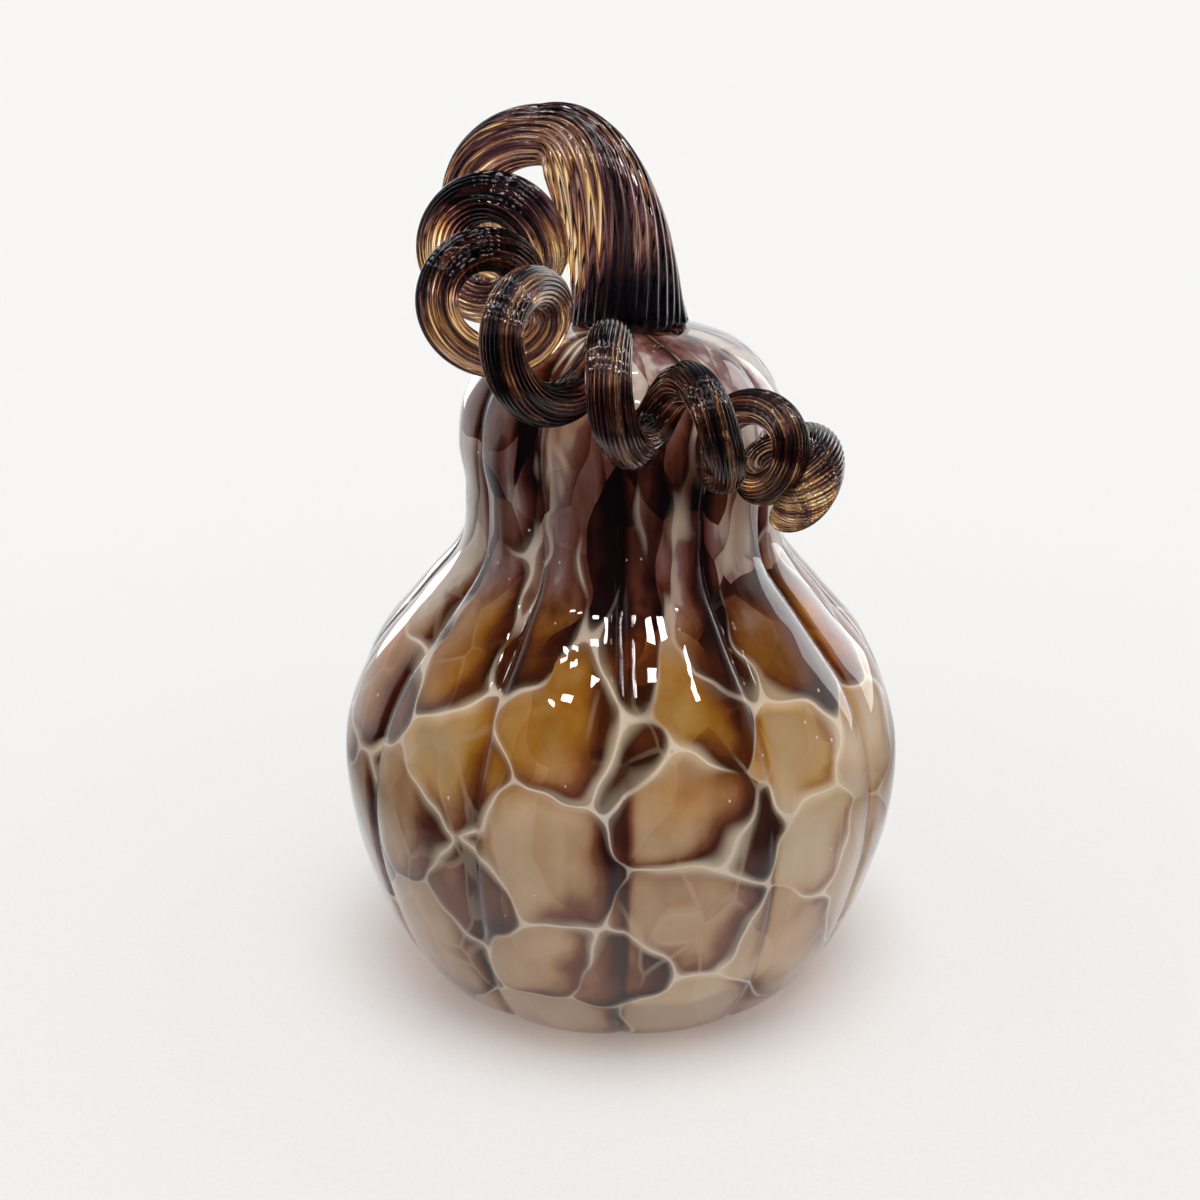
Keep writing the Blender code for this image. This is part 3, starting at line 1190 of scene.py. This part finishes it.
        store(piece.data, "along", length * MM)
        bend = np.gradient(np.gradient(line, axis=0), axis=0)
        bend /= np.maximum(np.linalg.norm(bend, axis=1), 1e-9)[:, None]
        outward = -(bend[ring] * across).sum(1)
        window = np.ones(61) / 61
        level = line[:, 2] - np.convolve(np.pad(line[:, 2], 30, "edge"), window, "valid")
        # Stores the rod's darkening, mostly painted shade, for the glass to read.
        store(piece.data, "shade_darkening", self.smokiness(length / total, length, outward, across[:, 2], level[ring]))
        bpy.ops.object.mode_set(mode="EDIT")
        bpy.ops.mesh.select_all(action="SELECT")
        bpy.ops.mesh.remove_doubles(threshold=2e-6)
        bpy.ops.mesh.select_all(action="DESELECT")
        bpy.ops.mesh.select_mode(type="EDGE")
        bpy.ops.mesh.select_non_manifold()
        bpy.ops.mesh.fill_holes(sides=0)
        bpy.ops.mesh.select_all(action="SELECT")
        bpy.ops.mesh.normals_make_consistent(inside=False)
        bpy.ops.object.mode_set(mode="OBJECT")
        bpy.ops.object.shade_smooth()
        piece.data.materials.append(StemGlass().material())
        return piece


# Studio -----------------------------------------------------------------------


@dataclass
class Studio:
    """White table, bright surround with a dark ceiling, small lamps, and the camera."""

    camera_place: tuple = (-0.0057, -0.4599, 0.2695)
    camera_pitch: float = 19.82
    focal: float = 54.42
    floor_radius: float = 14.0
    lamp_columns: tuple = (-0.62, -0.36, -0.08, 0.24, 0.56)
    lamp_rows: tuple = (-0.64, -0.28, 0.14)
    lamp_height: float = 1.15
    lamp_glow: float = 42.0
    lamp_stray: float = 0.10
    lamp_seed: int = 4
    sky_power: float = 1.6
    ring_power: float = 2.0
    fill_power: float = 1.75
    fill_slope: float = 58.0
    fill_angle: float = 60.0
    sky_angle: float = 34.0
    panels: tuple = ((0.80, 0.62, 0.55, 0.80), (-0.52, 0.92, 0.42, 0.80))
    panel_glow: float = 2.6

    def surround(self) -> None:
        """A bright ring round the horizon under a dark ceiling, with the room dark ahead."""
        world = bpy.data.worlds.new("studio")
        bpy.context.scene.world = world
        world.use_nodes = True
        tree = world.node_tree
        tree.nodes.clear()
        way = node(tree, "SeparateXYZ", in_0=node(tree, "TexCoord").outputs["Generated"])
        sky = ramp(
            tree,
            way.outputs["Z"],
            ((0.0, "#fbfbfd"), (0.42, "#fafafc"), (0.60, "#3c5866"), (0.78, "#1c3440"), (1.0, "#1c3440")),
        )
        behind = remap(tree, way.outputs["Y"], (-0.30, 0.15))
        room = blend(tree, behind, linear("#16242c"), sky)
        path = node(tree, "LightPath")
        rays = [path.outputs[name] for name in ("Is Glossy Ray", "Is Transmission Ray")]
        mirrored = node(tree, "Math", {"use_clamp": True}, in_0=rays[0], in_1=rays[1]).outputs[0]
        grey = node(tree, "RGBToBW", Color=sky).outputs[0]
        ring = maths(tree, "MULTIPLY", grey, self.ring_power)
        lit = blend(tree, mirrored, ring, room)
        seen = path.outputs["Is Camera Ray"]
        shown = blend(tree, seen, lit, linear("#f3f3f3"))
        back = node(tree, "Background", Color=shown, Strength=1.0)
        out = tree.nodes.new("ShaderNodeOutputWorld")
        tree.links.new(back.outputs[0], out.inputs["Surface"])

    def light(self, name: str, place: tuple, size: tuple, glow: float) -> None:
        """Hangs one rectangular lamp that faces the gourd.

        Args:
            name: the lamp's name.
            place: metres.
            size: width and height in metres.
            glow: how bright its face is, where white paper in full light is 1.
        """
        data = bpy.data.lights.new(name, "AREA")
        data.shape = "RECTANGLE"
        data.size, data.size_y = size
        data.energy = glow * math.pi * size[0] * size[1]
        lamp = bpy.data.objects.new(name, data)
        bpy.context.collection.objects.link(lamp)
        lamp.location = place
        aim = np.array((0.0, 0.0, 0.11)) - np.array(place)
        aim /= np.linalg.norm(aim)
        lamp.rotation_euler = (math.acos(-aim[2]), 0.0, math.atan2(aim[1], aim[0]) - math.pi / 2)
        lamp.visible_camera = False
        lamp.visible_diffuse = False

    def sun(self, name: str, power: float, angle: float, turns: tuple) -> bpy.types.Object:
        """Adds one soft lamp at a great distance that mirrors and glass don't show.

        Args:
            name: the lamp's name.
            power: its strength.
            angle: how wide it looks, in degrees.
            turns: how it is turned about X, Y and Z, in degrees.

        Returns:
            The lamp.
        """
        data = bpy.data.lights.new(name, "SUN")
        data.energy = power
        data.angle = math.radians(angle)
        lamp = bpy.data.objects.new(name, data)
        bpy.context.collection.objects.link(lamp)
        lamp.rotation_euler = [math.radians(turn) for turn in turns]
        lamp.visible_glossy = False
        lamp.visible_transmission = False
        return lamp

    def build(self, pieces: tuple) -> None:
        """Makes the floor, the lights and the camera.

        Args:
            pieces: the objects that the fill lamp in front lights.
        """
        deselect_all()
        bpy.ops.mesh.primitive_circle_add(vertices=96, radius=self.floor_radius, fill_type="NGON")
        floor = bpy.context.object
        floor.name = "paper_floor"
        floor.data.materials.append(TablePaper().material())
        self.surround()
        draw = np.random.default_rng(self.lamp_seed)
        for row, y in enumerate(self.lamp_rows):
            for column, x in enumerate(self.lamp_columns):
                stray = draw.uniform(-self.lamp_stray, self.lamp_stray, 2)
                place = (x + stray[0], y + stray[1], self.lamp_height)
                size = (draw.uniform(0.04, 0.13), draw.uniform(0.03, 0.07))
                self.light(f"lamp_{row}_{column}", place, size, self.lamp_glow)
        for k, (x, y, wide, tall) in enumerate(self.panels):
            self.light(f"panel_{k}", (x, y, 0.42), (wide, tall), self.panel_glow)
        sky = self.sun("open_sky", self.sky_power, self.sky_angle, (8.0, 2.0, 0.0))
        sky.data.color = linear("#fffdfa")[:3]
        fill = self.sun("front_fill", self.fill_power, self.fill_angle, (self.fill_slope, 0.0, 14.0))
        lit = bpy.data.collections.new("lit_by_fill")
        for piece in pieces:
            lit.objects.link(piece)
        fill.light_linking.receiver_collection = lit
        data = bpy.data.cameras.new("camera")
        data.lens = self.focal
        data.sensor_width = 36.0
        data.clip_start = 0.01
        data.clip_end = 50.0
        camera = bpy.data.objects.new("camera", data)
        bpy.context.collection.objects.link(camera)
        camera.location = self.camera_place
        camera.rotation_euler = (math.radians(90 - self.camera_pitch), 0.0, 0.0)
        bpy.context.scene.camera = camera


def main() -> None:
    """Builds the gourd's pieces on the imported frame, then the studio round them."""
    logging.basicConfig(level=logging.INFO, format="%(name)s: %(message)s")
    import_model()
    bpy.context.scene.view_settings.view_transform = "Standard"
    body = BlownBody()
    stem = CurledStem()
    casing = body.casing()
    layer = body.colour_layer()
    seeds = Seeds(body).build()
    rod = stem.rod()
    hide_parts("gourd_body")
    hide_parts("curled_stem")
    for piece in (casing, layer, seeds, rod):
        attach(piece, "root")
        log.info("%s: %d faces", piece.name, len(piece.data.polygons))
    Studio().build((casing, layer, seeds, rod))


if __name__ == "__main__":
    main()
